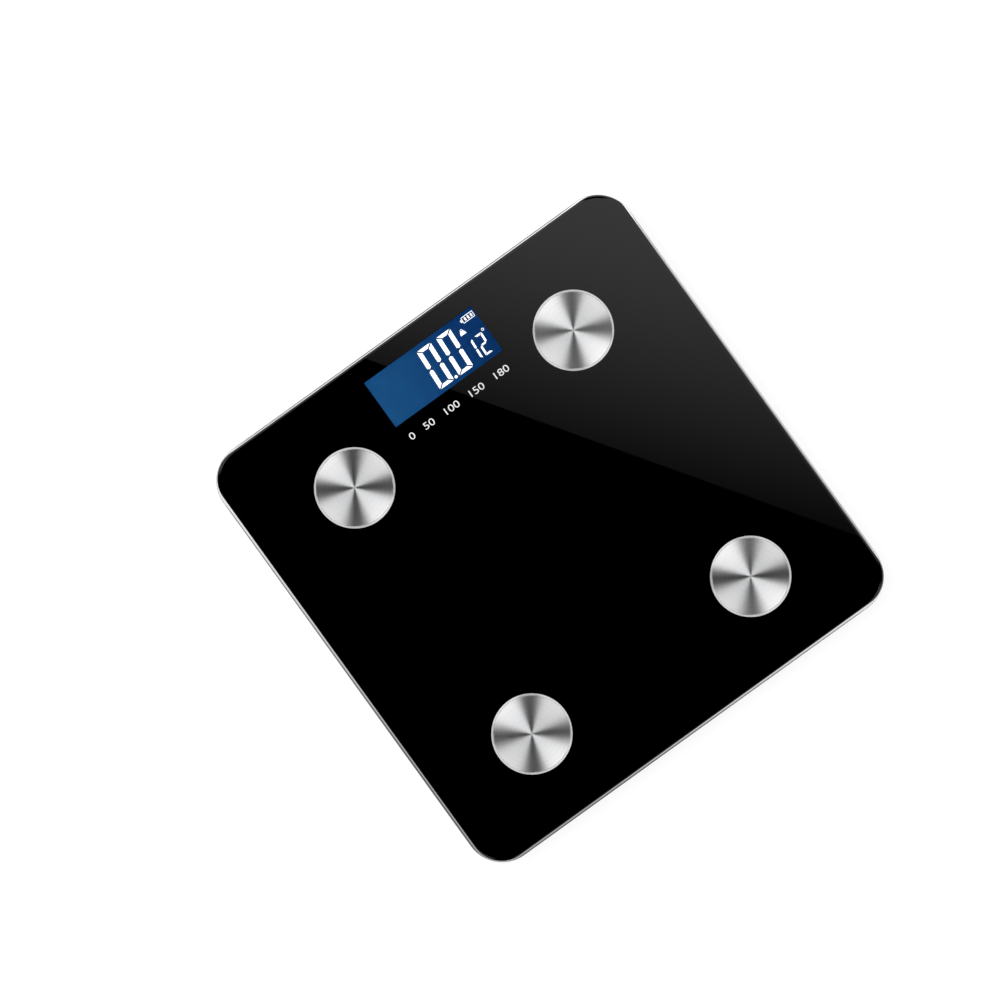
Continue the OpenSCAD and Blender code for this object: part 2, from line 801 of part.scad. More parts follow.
module main_board() {
    color("#1f6b3a") difference() {
        translate([0, pcb_y, 0]) plate(pcb_w, pcb_d, 1.5, pcb_z, pcb_t);
        for (x = [-1, 1], y = pcb_screw_y) translate([x * pcb_screw_x, y, 0])
            rod(screw_r + 0.3, pcb_z - cut, pcb_t + 2 * cut);
        for (x = [-1, 1], y = peg_y) translate([x * ear_x, y, 0])
            rod(peg_r + slip, pcb_z - cut, pcb_t + 2 * cut);
    }
}

// Chip capacitors and resistors, a crystal and a regulator under the board, each placed from the
// board's left, right, front or rear edge
module board_components() {
    left = -pcb_w / 2;
    chip = [2, 1.25, 0.8];
    front_row = [left + 15, pcb_front + 10];
    rear_row = [12, pcb_back - 6];
    front_pitch = 3.4;
    rear_pitch = 3.6;
    crystal = [11, 4.6, 2.2];
    crystal_at = [left + 21, pcb_back - 12];
    regulator = [4.5, 3, 1.1];
    regulator_at = [left + 19, pcb_front + 16];
    can_r = 2;
    can_h = 3;
    can_at = [pcb_w / 2 - 13, pcb_back - 12];
    color("#3c3f44") {
        for (i = [0:5]) under_board([front_row[0] + front_pitch * i, front_row[1]], chip);
        for (i = [0:4]) under_board([rear_row[0] + rear_pitch * i, rear_row[1]], chip);
        under_board(crystal_at, crystal);
        under_board(regulator_at, regulator);
        translate([can_at[0], can_at[1], pcb_z - can_h]) cylinder(r = can_r, h = can_h);
    }
}

module under_board(at, size) { translate([at[0], at[1], pcb_z - size[2]]) cube(size); }

// Bonded chip under its round drop of black epoxy
module board_chip() {
    chip_r = 6.5;
    chip_h = 1.1;
    chip_x = pcb_w / 2 - 25;
    color("#111214") translate([chip_x, pcb_y + 1, pcb_z]) mirror([0, 0, 1]) dome(chip_r, chip_h);
}

// Pan-head screw with a cross in its head, which stands up from z_head
module screw(z_head, l) {
    difference() {
        union() {
            rod(screw_r, z_head - l, l);
            rod(screw_head_r, z_head, head_h);
        }
        for (a = [0, 90]) rotate(a) bar([-cross_l / 2, cross_l / 2], [-cross_w / 2, cross_w / 2],
            [z_head + head_h - cross_d, z_head + head_h + cut]);
    }
}

module board_screws() {
    color("#a9abad") for (x = [-1, 1], y = pcb_screw_y) translate([x * pcb_screw_x, y, 0])
        screw(pcb_top, pcb_t + pcb_standoff - 1);
}

// ---------------------------------------------------------------- unit button

module unit_switch() {
    z = button_top + stem_h;
    color("#5b5d60") translate([0, button_y, 0]) difference() {
        bar([-switch_side / 2, switch_side / 2], [-switch_side / 2, switch_side / 2], [z, pcb_z]);
        rod(stem_r + slip, z - cut, cut + button_travel + 2 * slip);
    }
}

module unit_switch_stem() {
    color("#e8e6df") translate([0, button_y, 0]) rod(stem_r, button_top, stem_h + slip);
}

// Cap with a dished face and a flange that keeps it in the tray
module unit_button() {
    dish_r = 30;
    dish_h = 0.35;
    face_z = tray_z + button_sink;
    color("#3d4044") translate([0, button_y, 0]) difference() {
        union() {
            rod(button_r, face_z, button_top - face_z);
            rod(button_flange_r, button_top - button_flange_t, button_flange_t);
        }
        translate([0, 0, face_z - dish_r + dish_h]) sphere(dish_r);
    }
}

// ---------------------------------------------------------------- load cells and feet

// Stamped spring-steel flexure: outer frame, slot all round, and a neck to the middle pad
module load_cell(c) {
    inner = cell_side - 2 * cell_frame;
    slot_end = inner / 2;
    color("#9aa0a6") in_corner(c) at_foot() translate([0, 0, cell_z]) linear_extrude(height = cell_t)
        difference() {
            union() {
                difference() {
                    rounded_rect(cell_side, cell_side, 4);
                    rounded_rect(inner, inner, 2);
                }
                rounded_rect(cell_pad, cell_pad, 1.5);
                translate([-slot_end - 0.5, -cell_neck / 2])
                    square([slot_end + 0.5 - cell_pad / 2 + 1.5, cell_neck]);
            }
            for (y = [-1, 1]) translate([0, y * cell_screw_y]) circle(screw_r + 0.3);
            circle(0.9);
        }
}

// Silicone drop over the strain gauge on each neck
module strain_gauge_sealant() {
    neck_x = -(cell_side / 2 - cell_frame + cell_pad / 2) / 2;
    color("#f4f4f0") for (c = corners) in_corner(c) at_foot() translate([neck_x, 0, cell_top])
        dome(gauge_r, gauge_h);
}

module load_cell_screws() {
    color("#a9abad") for (c = corners) in_corner(c) at_foot()
        for (y = [-1, 1]) translate([0, y * cell_screw_y, 0])
            translate([0, 0, cell_z]) mirror([0, 0, 1]) screw(0, rim_z - 3 - cell_z);
}

// Foot cup: pad recess, ribbed plate, nub for the cell and four snap hooks
module foot_cup(c) {
    rim_low = pad_proud;
    plate_z = pad_proud + pad_seat;
    plate_top = plate_z + cup_plate_t;
    wall_top = cell_z - foot_travel - 1.1;
    nub_r = 2.5;
    rib_w = 1.2;
    stiffener_h = 1.6;
    color("#202124") in_corner(c) at_foot() {
        difference() {
            rotate_extrude() polygon([[0, rim_low], [cup_r - 0.6, rim_low], [cup_r, rim_low + 0.6],
                [cup_r, wall_top], [cup_r - cup_wall, wall_top], [cup_r - cup_wall, plate_top],
                [6, plate_top], [5, wall_top], [nub_r, cell_z], [0, cell_z]]);
            rod(cup_r - 1.6, rim_low - cut, cut + pad_seat);
            rod(1.1, cell_z - 1.6, 3);
        }
        for (a = [22.5:45:337.5]) rotate(a)
            bar([4.5, cup_r - cup_wall + 0.3], [-rib_w / 2, rib_w / 2],
                [plate_top - bite, plate_top + stiffener_h]);
        for (a = [0:90:270]) rotate(a) foot_hook(wall_top);
    }
}

// A springy arm through the well's roof, with a barb that rests on it
module foot_hook(from_z) {
    out = cup_r - slip;
    in = cup_r - cup_wall;
    barb_z = roof_top + hook_play;
    tip = window_in_r - hook_lap;
    rotate([90, 0, 0]) translate([0, 0, -hook_w / 2]) linear_extrude(height = hook_w)
        polygon([[in, from_z - 1], [out, from_z - 1], [out, barb_z + hook_h],
            [in, barb_z + hook_h], [tip, barb_z + hook_h * 0.45], [tip, barb_z], [in, barb_z]]);
}

// Rubber pad with two tread grooves
module foot_pad(c) {
    r = cup_r - 1.8;
    groove_w = 1.4;
    groove_d = 0.4;
    color("#4a4b4e") in_corner(c) at_foot() difference() {
        rotate_extrude() polygon([[0, 0], [r - 0.6, 0], [r, 0.6], [r, pad_proud + pad_seat],
            [0, pad_proud + pad_seat]]);
        for (g = [r * 0.45, r * 0.75]) tube(g, g + groove_w, -cut, cut + groove_d);
    }
}

// ---------------------------------------------------------------- batteries

// Door: plate, rounded hinge edge with two tabs, U-shaped latch and thumb grooves
module battery_door() {
    color("#2b2d30") {
        difference() {
            union() {
                bar([-door_half_x, door_half_x], [hinge_y, door_half_y], [door_z, door_top]);
                translate([-door_half_x, hinge_y, hinge_z]) rotate([0, 90, 0])
                    cylinder(r = hinge_r, h = 2 * door_half_x);
            }
            latch_gap();
            thumb_grooves();
        }
        for (x = [-tab_x, tab_x]) bar([x - tab_w / 2, x + tab_w / 2],
            [hinge_y - hinge_r - tab_reach, hinge_y], [hinge_z - slip, hinge_z + hinge_r]);
        battery_latch();
        // ribs that keep the cells from rattling
        for (x = [-12, 12]) bar([x - 0.5, x + 0.5], [-1.2, 1.2], [door_top - 0.3, door_top + 1.6]);
    }
}

// The gap round the latch, which lets it bend
module latch_gap() {
    side_x = latch_w / 2;
    through = [door_z - cut, door_top + cut];
    for (s = [0, 1]) mirror([s, 0, 0])
        bar([side_x, side_x + latch_slot], [bay_half_y - 1, door_half_y + cut], through);
    bar([-side_x - slip, side_x + slip], [bay_half_y + latch_t, door_half_y - latch_edge], through);
}

// Four grooves that narrow away from the latch
module thumb_grooves() {
    for (i = [0:3]) translate([0, door_half_y - 5.9 - groove_pitch * i, 0])
        bar([-5 + groove_w * i, 5 - groove_w * i], [-groove_w, 0], [door_z - cut, door_z + 0.35]);
}

// U-shaped spring: one leg on the door, an arch, and a leg with the barb and thumb pad
module battery_latch() {
    leg_in = bay_half_y;
    leg_out = door_half_y - latch_edge - 0.4;
    barb_y = door_half_y + door_gap - slip;
    arch_r = (leg_out - leg_in + latch_t) / 2;
    arch_y = leg_in + arch_r;
    arch_z = door_top + latch_h - arch_r;
    translate([-latch_w / 2, 0, 0]) rotate([90, 0, 90]) linear_extrude(height = latch_w) {
        translate([leg_in, door_top - 0.5]) square([latch_t, arch_z - door_top + 0.5]);
        intersection() {
            translate([arch_y, arch_z]) difference() {
                circle(arch_r);
                circle(arch_r - latch_t);
            }
            translate([leg_in, arch_z]) square([2 * arch_r, arch_r]);
        }
        translate([leg_out, door_z]) square([latch_t, arch_z - door_z]);
        polygon([[leg_out, door_top + 0.2], [barb_y, door_top + 0.2], [leg_out, door_top + 1.4]]);
    }
}

// AAA cell along +X from its flat end at the origin
module battery_cell_shape() {
    r = battery_d / 2;
    can = battery_l - 1;
    rotate([0, 90, 0]) rotate_extrude() polygon([[0, 0], [r - 1, 0], [r - 1, 0.15], [r - 0.25, 0.15],
        [r, 0.4], [r, can - 0.4], [r - 0.25, can - 0.15], [r - 0.9, can - 0.15], [r - 1.1, can - 0.4],
        [1.9, can - 0.4], [1.9, battery_l - 0.2], [1.7, battery_l], [0, battery_l]]);
}

// Cell a faces right and lies nearer the display; cell b faces left
module battery_cell(s) {
    start = -bay_half_x + slip + contact_t + spring_l;
    color(s > 0 ? "#b08d3f" : "#a58338") mirror([s > 0 ? 0 : 1, 0, 0])
        translate([start, s * cell_axis_y, cell_axis_z]) battery_cell_shape();
}

// Conical contact spring along +X, wide end at the plate
module contact_spring() {
    turns = 3.5;
    wire_r = 0.3;
    steps = 42;
    route = [for (i = [0:steps]) let (t = i / steps, a = 360 * turns * t, r = 3.9 - 1.5 * t)
        [wire_r + t * (spring_l - 2 * wire_r), r * cos(a), r * sin(a)]];
    swept_wire(route, wire_r, 6, [1, 0, 0]);
}

module battery_springs() {
    color("#cfd1d3") for (s = [1, -1]) mirror([s > 0 ? 0 : 1, 0, 0])
        translate([-bay_half_x + slip + contact_t, s * cell_axis_y, cell_axis_z]) contact_spring();
}

// Dimple that meets a cell's positive button, on the plate at the right end
module contact_dimple(s) {
    translate([bay_half_x - slip - contact_t, s * cell_axis_y, cell_axis_z]) rotate([0, -90, 0])
        cylinder(r1 = 2.4, r2 = 1.5, h = dimple_h);
}

// Plate across the right end: positive of cell a, negative of cell b
module battery_link_contact() {
    half = bay_half_y - 0.3;
    color("#cfd1d3") {
        bar([bay_half_x - slip - contact_t, bay_half_x - slip], [-half, half],
            [door_top + 1, bay_roof_z - 1]);
        contact_dimple(1);
    }
}

// The two terminals at the left end, with tabs through the bay's wall
module battery_terminals() {
    half = battery_d / 2 - 0.6;
    face_x = -bay_half_x + slip;
    tab_end = -bay_half_x - bay_wall - terminal_tab_l;
    color("#cfd1d3") for (y = [-cell_axis_y, cell_axis_y]) {
        bar([face_x, face_x + contact_t], [y - half, y + half], [door_top + 1, bay_roof_z - 1]);
        bar([tab_end, face_x + contact_t], [y - terminal_tab_w / 2, y + terminal_tab_w / 2],
            [terminal_tab_z, terminal_tab_z + contact_t]);
    }
    color("#cfd1d3") mirror([1, 0, 0]) contact_dimple(-1);
}

// ---------------------------------------------------------------- leads

// Three lead wires of a load cell, side by side, soldered under the board
module load_cell_leads(c) {
    rear = c[1] > 0;
    in_y = foot_xy - channel_y;
    start_x = foot_xy - cell_pad / 2 - 3.2;
    color("#b23a34") mirror([c[0] < 0 ? 1 : 0, 0, 0]) for (i = [-1:1]) {
        lane = (rear ? lead_lane_x[1] : lead_lane_x[0]) + i * lead_pitch + 1.2;
        y = (rear ? 1 : -1) * in_y + i * lead_pitch;
        gauge = (rear ? 1 : -1) * (foot_xy - gauge_r - slip);
        route = [[start_x + i * lead_pitch * (rear ? -1 : 1), gauge, lead_z],
            [start_x + i * lead_pitch * (rear ? -1 : 1), y, lead_z],
            [lane, y, lead_z], [lane, lead_end_y, lead_z]];
        swept_wire(eased(route, 1.6), lead_r, 8);
    }
}

// From each ring terminal, over the floor ribs, to the board's upper side
module electrode_leads() {
    r = electrode_lead_r;
    top_z = terminal_z + terminal_t - barrel_r;
    start_x = electrode_x - barrel_x - barrel_l + 1.5;
    board_z = pcb_top + r;
    run_z = floor_z + rib_h + r;
    lane = pcb_w / 2 + 1;
    rear_route = [[start_x, electrode_rear_y, top_z], [start_x - 9, electrode_rear_y, top_z - 0.2],
        [lane + 1, pcb_front + 2.5, board_z + 0.6], [lane - 4, pcb_front + 5, board_z]];
    front_route = [[start_x, -electrode_front_y, top_z], [start_x - 8, -electrode_front_y, top_z - 0.4],
        [lane, -rib_far - 10, run_z + 1.5], [lane, -rib_far - 1, run_z], [lane, rib_far + 2, run_z],
        [lane - 2.5, pcb_front - 6, board_z], [lane - 7.5, pcb_front + 2, board_z]];
    color("#2f6fb0") for (s = [0, 1]) mirror([s, 0, 0]) {
        swept_wire(eased(rear_route, 4), r, 8);
        swept_wire(eased(front_route, 5), r, 8);
    }
}

module battery_lead(s) {
    x = -bay_half_x - bay_wall - terminal_tab_l + 1;
    lane = x - (s > 0 ? 1.5 : 4);
    z = lead_z + 0.15;
    top = terminal_tab_z + contact_t + lead_r;
    color(s > 0 ? "#222428" : "#c2302b") swept_wire(eased([[x + 1, s * cell_axis_y, top],
        [lane, s * cell_axis_y, top], [lane, s * cell_axis_y + 5, z], [lane, rib_near, lead_z],
        [lane, rib_far, lead_z], [lane, lead_end_y, lead_z]], 2), lead_r, 8);
}

// ---------------------------------------------------------------- assembly

glass_platform();
glass_back_print();
glass_bond_tape();
electrode(rear_left);  // electrode_rear_left
electrode(rear_right);  // electrode_rear_right
electrode(front_left);  // electrode_front_left
electrode(front_right);  // electrode_front_right
electrode_adhesive();
electrode_bushings();
electrode_nuts();
electrode_ring_terminals();
base_tray();
lcd_glass();
lcd_gasket();
lcd_holder();
lcd_contact_strip();
backlight_guide();
backlight_diffuser();
backlight_leds();
main_board();
board_components();
board_chip();
board_screws();
unit_switch();
unit_switch_stem();
unit_button();
load_cell(rear_left);  // load_cell_rear_left
load_cell(rear_right);  // load_cell_rear_right
load_cell(front_left);  // load_cell_front_left
load_cell(front_right);  // load_cell_front_right
strain_gauge_sealant();
load_cell_screws();
foot_cup(rear_left);  // foot_cup_rear_left
foot_cup(rear_right);  // foot_cup_rear_right
foot_cup(front_left);  // foot_cup_front_left
foot_cup(front_right);  // foot_cup_front_right
foot_pad(rear_left);  // foot_pad_rear_left
foot_pad(rear_right);  // foot_pad_rear_right
foot_pad(front_left);  // foot_pad_front_left
foot_pad(front_right);  // foot_pad_front_right
battery_door();
battery_cell(1);  // battery_cell_a
battery_cell(-1);  // battery_cell_b
battery_springs();
battery_link_contact();
battery_terminals();
load_cell_leads(rear_left);  // load_cell_leads_rear_left
load_cell_leads(rear_right);  // load_cell_leads_rear_right
load_cell_leads(front_left);  // load_cell_leads_front_left
load_cell_leads(front_right);  // load_cell_leads_front_right
electrode_leads();
battery_lead(1);  // battery_lead_positive
battery_lead(-1);  // battery_lead_negative
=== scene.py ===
"""Digital bathroom scale: materials, display, printed numbers, studio and camera.

Lengths are in metres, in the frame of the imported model: origin on the floor under the middle of
the plate, +Z up, +Y towards the display edge. Front is -Y and right is +X.
"""
import json
import math

import bmesh
import bpy
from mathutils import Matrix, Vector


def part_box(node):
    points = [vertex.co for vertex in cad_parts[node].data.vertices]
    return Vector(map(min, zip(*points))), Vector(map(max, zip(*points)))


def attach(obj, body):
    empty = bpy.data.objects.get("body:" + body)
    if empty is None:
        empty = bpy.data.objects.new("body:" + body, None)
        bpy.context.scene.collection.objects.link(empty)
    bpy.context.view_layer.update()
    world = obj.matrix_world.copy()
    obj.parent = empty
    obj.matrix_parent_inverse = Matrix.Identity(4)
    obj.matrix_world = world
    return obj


MM = 0.001

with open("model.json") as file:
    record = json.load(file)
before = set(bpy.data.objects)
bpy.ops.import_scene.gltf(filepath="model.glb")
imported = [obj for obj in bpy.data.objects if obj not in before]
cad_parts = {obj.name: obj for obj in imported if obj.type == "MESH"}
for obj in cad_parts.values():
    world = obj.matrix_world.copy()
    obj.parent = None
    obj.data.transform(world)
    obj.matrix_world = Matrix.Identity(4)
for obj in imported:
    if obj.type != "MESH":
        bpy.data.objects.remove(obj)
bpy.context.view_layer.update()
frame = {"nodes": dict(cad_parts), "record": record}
NODES = frame["nodes"]

GLASS_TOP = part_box("glass_platform")[1].z
SCREEN_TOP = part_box("lcd_glass")[1].z

# The black print's half side, and its corner radius from where its straight rear edge ends
PRINT_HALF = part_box("glass_back_print")[1].x
print_points = [v.co for v in NODES["glass_back_print"].data.vertices]
PRINT_CORNER = PRINT_HALF - max(c.x for c in print_points if c.y > PRINT_HALF - 0.01 * MM)

# The clear window in the print, from the corners of the print's own mesh
window = [c for c in print_points if abs(c.x) < 50 * MM and 80 * MM < c.y < 125 * MM]
WINDOW_X = max(c.x for c in window)
WINDOW_Y = (min(c.y for c in window), max(c.y for c in window))
WINDOW_TINT = (0.975, 0.99, 0.985, 1)

# The print's outline as the photograph shows it from above, through the glass's rounded edge. These
# three are fitted to that view and not worked out from the glass
SEEN_HALF = PRINT_HALF + 0.95 * MM
SEEN_CORNER = PRINT_CORNER - 1.2 * MM
SEEN_SHIFT = (0.4 * MM, 0.25 * MM)
# Depth of the glass, from its top, that takes this seen outline
SEEN_DEPTH = 3 * MM

# Width of the bright line round the print, outside which the edge has painted shade at the front and left.
# It is fitted to the photograph and painted into the glass's own colour, so other views have it too
EDGE_LINE = 0.55 * MM
EDGE_SOFT = 0.1 * MM
EDGE_TINT = (0.80, 0.83, 0.82, 1)
# painted shade: colour of the edge's outer part at the front and left
EDGE_PAINTED_SHADE = (0.03, 0.032, 0.032, 1)
# Where the painted shade on the edge fades out, on the way towards the rear right
PAINTED_SHADE_FADE = (-125 * MM, 20 * MM)
REAR_RIGHT = (0.67, 0.74)

# Each disc's bevel, and the polished turned rim that reaches a little further in, with a painted highlight
BEVEL_WIDTH = 0.9 * MM
RIM_WIDTH = 1.15 * MM
RIM_SOFT = 0.1 * MM
# Slope of the rim's bump, and how much of it is taken back where the bevel slopes by itself
RIM_SLOPE = -0.93
BEVEL_SLOPE = 0.51
# Roughness of the turned face and of its rim
FACE_ROUGH = 0.34
RIM_ROUGH = 0.14


# ---------------------------------------------------------------- colours and node helpers

def linear(value):
    """Linear value of an sRGB value from 0 to 255."""
    v = value / 255
    return v / 12.92 if v <= 0.04045 else ((v + 0.055) / 1.055) ** 2.4


def rgb(r, g, b):
    return (linear(r), linear(g), linear(b), 1.0)


class Nodes:
    """A material's or world's node tree, with short calls for the nodes used here."""

    def __init__(self, owner):
        owner.use_nodes = True
        self.tree = owner.node_tree
        self.tree.nodes.clear()

    def add(self, kind, **inputs):
        node = self.tree.nodes.new("ShaderNode" + kind)
        for name, value in inputs.items():
            self.set(node, name.replace("_", " "), value)
        return node

    def set(self, node, socket, value):
        target = node.inputs[socket]
        if isinstance(value, bpy.types.NodeSocket):
            self.tree.links.new(value, target)
        else:
            target.default_value = value

    def math(self, operation, a, b=0.0, clamp=False):
        node = self.add("Math")
        node.operation = operation
        node.use_clamp = clamp
        self.set(node, 0, a)
        self.set(node, 1, b)
        return node.outputs[0]

    def product(self, *values):
        result = values[0]
        for value in values[1:]:
            result = self.math("MULTIPLY", result, value)
        return result

    def weighed(self, x, y, weights):
        """Sum of x and y, each times its weight."""
        return self.math("ADD", self.math("MULTIPLY", x, weights[0]), self.math("MULTIPLY", y, weights[1]))

    def length(self, x, y):
        """Length of the flat vector (x, y)."""
        squares = self.math("ADD", self.math("MULTIPLY", x, x), self.math("MULTIPLY", y, y))
        return self.math("SQRT", squares)

    def ramp(self, value, low, high, out_low=0.0, out_high=1.0, kind="LINEAR"):
        """Value from low to high mapped to out_low to out_high, and held past either end."""
        node = self.add("MapRange")
        node.interpolation_type = kind
        for name, number in (("Value", value), ("From Min", low), ("From Max", high),
                             ("To Min", out_low), ("To Max", out_high)):
            self.set(node, name, number)
        return node.outputs["Result"]

    def step(self, value, low, high, out_low=0.0, out_high=1.0):
        """The same with smooth ends."""
        return self.ramp(value, low, high, out_low, out_high, "SMOOTHSTEP")

    def mix(self, factor, a, b, blend="MIX"):
        node = self.add("Mix")
        node.data_type = "RGBA"
        node.blend_type = blend
        self.set(node, 0, factor)
        self.set(node, 6, a)
        self.set(node, 7, b)
        return node.outputs[2]

    def vector(self):
        """Object coordinates, which are the model's own."""
        return self.add("TexCoord").outputs["Object"]

    def xyz(self):
        """Object coordinates as x, y and z."""
        return self.add("SeparateXYZ", Vector=self.vector()).outputs

    def noise(self, vector, size, detail=3.0, rough=0.6):
        """Noise from 0 to 1 with cells of about that size."""
        node = self.add("TexNoise", Vector=vector, Scale=1 / size, Detail=detail, Roughness=rough)
        return node.outputs["Fac"]

    def cells(self, vector, size):
        """Distance from the middle of irregular cells of about that size."""
        return self.add("TexVoronoi", Vector=vector, Scale=1 / size).outputs["Distance"]

    def bump(self, height, depth, strength=1.0):
        node = self.add("Bump", Strength=strength, Distance=depth, Height=height)
        return node.outputs["Normal"]

    def out(self, shader, kind="OutputMaterial"):
        self.set(self.add(kind), "Surface", shader)


def past_outline(n, x, y, half, corner):
    """Distance past a rounded square of that half side and corner radius, negative inside."""
    straight = half - corner
    dx = n.math("MAXIMUM", n.math("SUBTRACT", n.math("ABSOLUTE", x), straight), 0.0)
    dy = n.math("MAXIMUM", n.math("SUBTRACT", n.math("ABSOLUTE", y), straight), 0.0)
    return n.math("SUBTRACT", n.length(dx, dy), corner)


def beside_window(n, x, y):
    """0 over the display's window, 1 elsewhere."""
    across = n.math("LESS_THAN", n.math("ABSOLUTE", x), WINDOW_X)
    past_near = n.math("GREATER_THAN", y, WINDOW_Y[0])
    before_far = n.math("LESS_THAN", y, WINDOW_Y[1])
    return n.math("SUBTRACT", 1.0, n.product(across, past_near, before_far))


def material(name):
    made = bpy.data.materials.new(name)
    return made, Nodes(made)


def principled(n, colour, rough, **sockets):
    """Puts a Principled shader with those sockets at the material's output."""
    n.out(n.add("BsdfPrincipled", Base_Color=colour, Roughness=rough, **sockets).outputs[0])


def darker(colour, share):
    """That share of a colour, opaque."""
    return tuple(c * share for c in colour[:3]) + (1.0,)


def plain(name, colour, rough, grain=0.4 * MM, tone=0.12, depth=0.02 * MM, spread=0.08, **sockets):
    """Moulded, cast or cut material: mottled colour, uneven gloss and a fine grain."""
    made, n = material(name)
    vector = n.vector()
    wide = n.noise(vector, 12 * MM)
    fine = n.noise(vector, grain, 2.0)
    light = tuple(min(1.0, c * (1 + tone)) for c in colour[:3]) + (1.0,)
    mottled = n.mix(n.step(wide, 0.3, 0.7), darker(colour, 1 - tone), light)
    gloss = n.step(fine, 0.3, 0.7, rough - spread, rough + spread)
    principled(n, mottled, gloss, Normal=n.bump(fine, depth), **sockets)
    return made


# ---------------------------------------------------------------- materials of the CAD nodes

def clear_glass():
    """Tempered glass: black from the print behind it, clear over the display and at the edge."""
    made, n = material("clear_glass")
    x, y, z = n.xyz()
    upper = n.math("GREATER_THAN", z, GLASS_TOP - SEEN_DEPTH)
    behind = past_outline(n, x, y, PRINT_HALF, PRINT_CORNER)
    seen = past_outline(n, n.math("SUBTRACT", x, SEEN_SHIFT[0]), n.math("SUBTRACT", y, SEEN_SHIFT[1]),
                        SEEN_HALF, SEEN_CORNER)
    past = n.math("ADD", n.math("MULTIPLY", upper, n.math("SUBTRACT", seen, behind)), behind)
    beside = beside_window(n, x, y)
    printed = n.product(n.math("LESS_THAN", past, 0.0), beside)
    outer = n.step(past, EDGE_LINE - EDGE_SOFT, EDGE_LINE + EDGE_SOFT)
    # painted shade: the edge past the bright line is tinted dark at the front and left
    front = n.step(n.weighed(x, y, REAR_RIGHT), *PAINTED_SHADE_FADE, 1.0, 0.0)
    edge = n.mix(n.math("MULTIPLY", outer, front), EDGE_TINT, EDGE_PAINTED_SHADE)
    tint = n.mix(beside, WINDOW_TINT, edge)
    smudge = n.noise(n.vector(), 30 * MM, 4.0)
    principled(n, n.mix(printed, tint, (0.0, 0.0, 0.0, 1)), n.step(smudge, 0.5, 0.8, 0.0, 0.03),
               IOR=1.5, Transmission_Weight=n.math("SUBTRACT", 1.0, printed))
    return made


def black_print():
    made, n = material("black_print")
    speckle = n.noise(n.vector(), 0.6 * MM)
    colour = n.mix(n.step(speckle, 0.4, 0.7), (0.0010, 0.0010, 0.0011, 1), (0.0022, 0.0022, 0.0024, 1))
    principled(n, colour, 0.55, Specular_IOR_Level=0.0)
    return made


def steel_colour(n, radius, rim, at_rim):
    """Grey and pale circles, with a painted highlight: paler outwards and a bright rim."""
    circles = n.add("CombineXYZ", X=radius).outputs[0]
    uneven = n.noise(circles, 0.55 * MM, 4.0, 0.7)
    # painted highlight: the face is painted paler towards the rim
    outward_painted_highlight = n.step(radius, 0.0, rim)
    pale = n.mix(outward_painted_highlight, rgb(226, 227, 228), rgb(250, 250, 251))
    grey = n.mix(outward_painted_highlight, rgb(206, 207, 208), rgb(232, 232, 233))
    face = n.mix(n.step(uneven, 0.25, 0.75), grey, pale)
    # painted highlight: the rim is painted near white
    return n.mix(at_rim, face, rgb(252, 252, 253))


def steel_normal(n, radius, rim):
    """Fine turned grooves, with an edge that rolls off at the rim."""
    circles = n.add("CombineXYZ", X=radius).outputs[0]
    grooves = n.bump(n.noise(circles, 0.12 * MM, 2.0, 0.7), 0.002 * MM, 0.5)
    past_rim = n.math("MAXIMUM", n.math("SUBTRACT", radius, rim - RIM_WIDTH), 0.0)
    past_bevel = n.math("MAXIMUM", n.math("SUBTRACT", radius, rim - BEVEL_WIDTH), 0.0)
    fall = n.weighed(past_rim, past_bevel, (RIM_SLOPE, BEVEL_SLOPE))
    return n.add("Bump", Distance=1.0, Height=fall, Normal=grooves).outputs["Normal"]


def spun_steel(name, low, high):
    """Stainless steel turned in fine circles about the disc's centre."""
    made, n = material(name)
    x, y, z = n.xyz()
    centre = (low + high) / 2
    rim = (high.x - low.x) / 2
    radius = n.length(n.math("SUBTRACT", x, centre.x), n.math("SUBTRACT", y, centre.y))
    at_rim = n.step(radius, rim - RIM_WIDTH - RIM_SOFT, rim - RIM_WIDTH + RIM_SOFT)
    rough = n.math("SUBTRACT", FACE_ROUGH, n.math("MULTIPLY", at_rim, FACE_ROUGH - RIM_ROUGH))
    tangent = n.add("Tangent")
    tangent.direction_type = "RADIAL"
    tangent.axis = "Z"
    principled(n, steel_colour(n, radius, rim, at_rim), rough, Metallic=1.0, Anisotropic=1.0,
               Anisotropic_Rotation=0.25, Tangent=tangent.outputs[0], Normal=steel_normal(n, radius, rim))
    return made


def display_glass():
    """Backlit blue liquid-crystal glass, brighter to the left."""
    made, n = material("display_glass")
    across = n.add("ValToRGB", Fac=n.step(n.xyz()[0], -WINDOW_X, WINDOW_X))
    ramp = across.color_ramp
    ramp.elements[0].color = rgb(22, 77, 127)
    ramp.elements[1].color = rgb(2, 44, 97)
    ramp.elements.new(0.5).color = rgb(12, 61, 113)
    cloud = n.noise(n.vector(), 6 * MM, 2.0)
    tint = n.mix(n.step(cloud, 0.3, 0.7), (0.94, 0.94, 0.94, 1), (1.06, 1.06, 1.06, 1))
    glow = n.mix(1.0, across.outputs[0], tint, "MULTIPLY")
    principled(n, (0.004, 0.02, 0.06, 1), 0.18, Emission_Color=glow, Emission_Strength=0.98)
    return made


def lit_white():
    """Clear segments of the display, lit from behind."""
    made, n = material("display_white")
    soft = n.noise(n.vector(), 2 * MM, 2.0)
    glow = n.mix(n.step(soft, 0.3, 0.7), (0.94, 0.97, 1.0, 1), (1, 1, 1, 1))
    principled(n, (0.8, 0.8, 0.8, 1), 0.5, Emission_Color=glow, Emission_Strength=1.08)
    return made


def ink_white():
    made, n = material("ink_white")
    soft = n.noise(n.vector(), 1.2 * MM, 2.0)
    colour = n.mix(n.step(soft, 0.3, 0.7), (0.92, 0.92, 0.92, 1), (0.99, 0.99, 0.99, 1))
    principled(n, colour, 0.6, Specular_IOR_Level=0.0)
    return made


